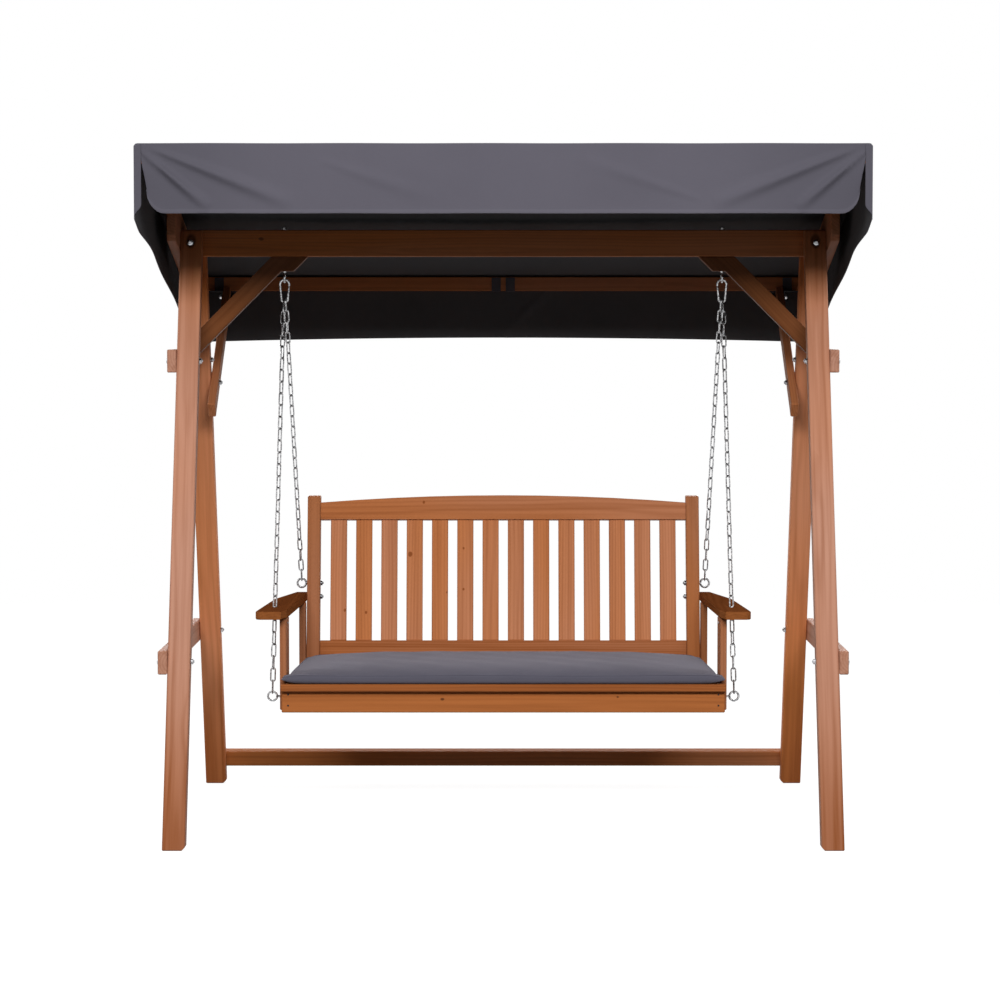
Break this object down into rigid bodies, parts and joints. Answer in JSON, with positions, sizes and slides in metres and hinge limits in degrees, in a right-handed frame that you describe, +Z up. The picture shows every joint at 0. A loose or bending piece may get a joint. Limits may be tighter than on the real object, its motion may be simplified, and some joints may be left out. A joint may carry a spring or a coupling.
{
  "type": "canopy swing bench",
  "caption": "Timber garden swing: a slatted bench with arms and a seat cushion hangs on chains from a braced A-frame under a sloping cloth canopy.",
  "frame": {"origin": "on the ground, in the middle between the four feet", "axes": "+Z up, +X along the bench towards its right end as the sitter's side sees it from the front, -Y to the front, where people sit down"},
  "size_m": [1.914, 1.2646, 1.848],
  "materials": {
    "frame_timber": "red-brown stained softwood, satin",
    "bench_timber": "red-brown stained softwood, satin",
    "zinc_steel": "bright zinc plate",
    "black_fitting": "black, matt",
    "canopy_cloth": "dark grey coated weave",
    "cushion_cloth": "dark grey weave"
  },
  "bodies": {
    "frame": {"top_beam": "frame_timber", "rear_stretcher": "frame_timber", "canopy_cover": "canopy_cloth", "canopy_front_rail": "frame_timber", "canopy_rear_rail": "frame_timber", "front_leg_left": "frame_timber", "front_leg_right": "frame_timber", "rear_leg_left": "frame_timber", "rear_leg_right": "frame_timber", "upper_side_rail_left": "frame_timber", "upper_side_rail_right": "frame_timber", "lower_side_rail_left": "frame_timber", "lower_side_rail_right": "frame_timber", "corner_brace_left": "frame_timber", "corner_brace_right": "frame_timber", "canopy_rafter_left": "frame_timber", "canopy_rafter_right": "frame_timber", "canopy_strut_left": "frame_timber", "canopy_strut_right": "frame_timber", "canopy_bracket_left": "black_fitting", "canopy_bracket_right": "black_fitting", "hook_eye_bolt_left": "zinc_steel", "hook_eye_bolt_right": "zinc_steel", "leg_top_bolt_left": "zinc_steel", "leg_top_bolt_right": "zinc_steel", "upper_rail_bolt_front_left": "zinc_steel", "upper_rail_bolt_front_right": "zinc_steel", "upper_rail_bolt_rear_left": "zinc_steel", "upper_rail_bolt_rear_right": "zinc_steel", "lower_rail_bolt_front_left": "zinc_steel", "lower_rail_bolt_front_right": "zinc_steel", "lower_rail_bolt_rear_left": "zinc_steel", "lower_rail_bolt_rear_right": "zinc_steel"},
    "swing": {"seat_frame": "bench_timber", "seat_apron": "bench_timber", "seat_deck": "bench_timber", "seat_cushion": "cushion_cloth", "back_panel": "bench_timber", "armrest_left": "bench_timber", "armrest_right": "bench_timber", "front_arm_post_left": "bench_timber", "front_arm_post_right": "bench_timber", "rear_arm_post_left": "bench_timber", "rear_arm_post_right": "bench_timber", "back_post_left": "bench_timber", "back_post_right": "bench_timber", "seat_eye_bolt_front_left": "zinc_steel", "seat_eye_bolt_front_right": "zinc_steel", "seat_eye_bolt_rear_left": "zinc_steel", "seat_eye_bolt_rear_right": "zinc_steel", "chain_front_left": "zinc_steel", "chain_front_right": "zinc_steel", "chain_rear_left": "zinc_steel", "chain_rear_right": "zinc_steel", "snap_hook_left": "zinc_steel", "snap_hook_right": "zinc_steel"},
    "gate_left": {"snap_gate_left": "zinc_steel"},
    "gate_right": {"snap_gate_right": "zinc_steel"},
    "knob_left": {"canopy_knob_left": "black_fitting"},
    "knob_right": {"canopy_knob_right": "black_fitting"}
  },
  "joints": [
    {"name": "swing", "type": "hinge", "parent": "frame", "child": "swing", "pos_m": [0, 0, 1.5053], "axis": [1, 0, 0], "range_deg": [-22, 22]},
    {"name": "gate_left", "type": "hinge", "parent": "swing", "child": "gate_left", "pos_m": [-0.6026, 0, 1.4575], "axis": [0, -1, 0], "range_deg": [0, 20], "stiffness_Nm_per_rad": 0.02, "springref_deg": -20.05},
    {"name": "gate_right", "type": "hinge", "parent": "swing", "child": "gate_right", "pos_m": [0.6026, 0, 1.4575], "axis": [0, 1, 0], "range_deg": [0, 20], "stiffness_Nm_per_rad": 0.02, "springref_deg": -20.05},
    {"name": "knob_left", "type": "hinge", "parent": "frame", "child": "knob_left", "pos_m": [-0.8134, 0.565, 1.46325], "axis": [1, 0, 0], "range_deg": [0, 270]},
    {"name": "knob_right", "type": "hinge", "parent": "frame", "child": "knob_right", "pos_m": [0.8134, 0.565, 1.46325], "axis": [-1, 0, 0], "range_deg": [0, 270]}
  ]
}
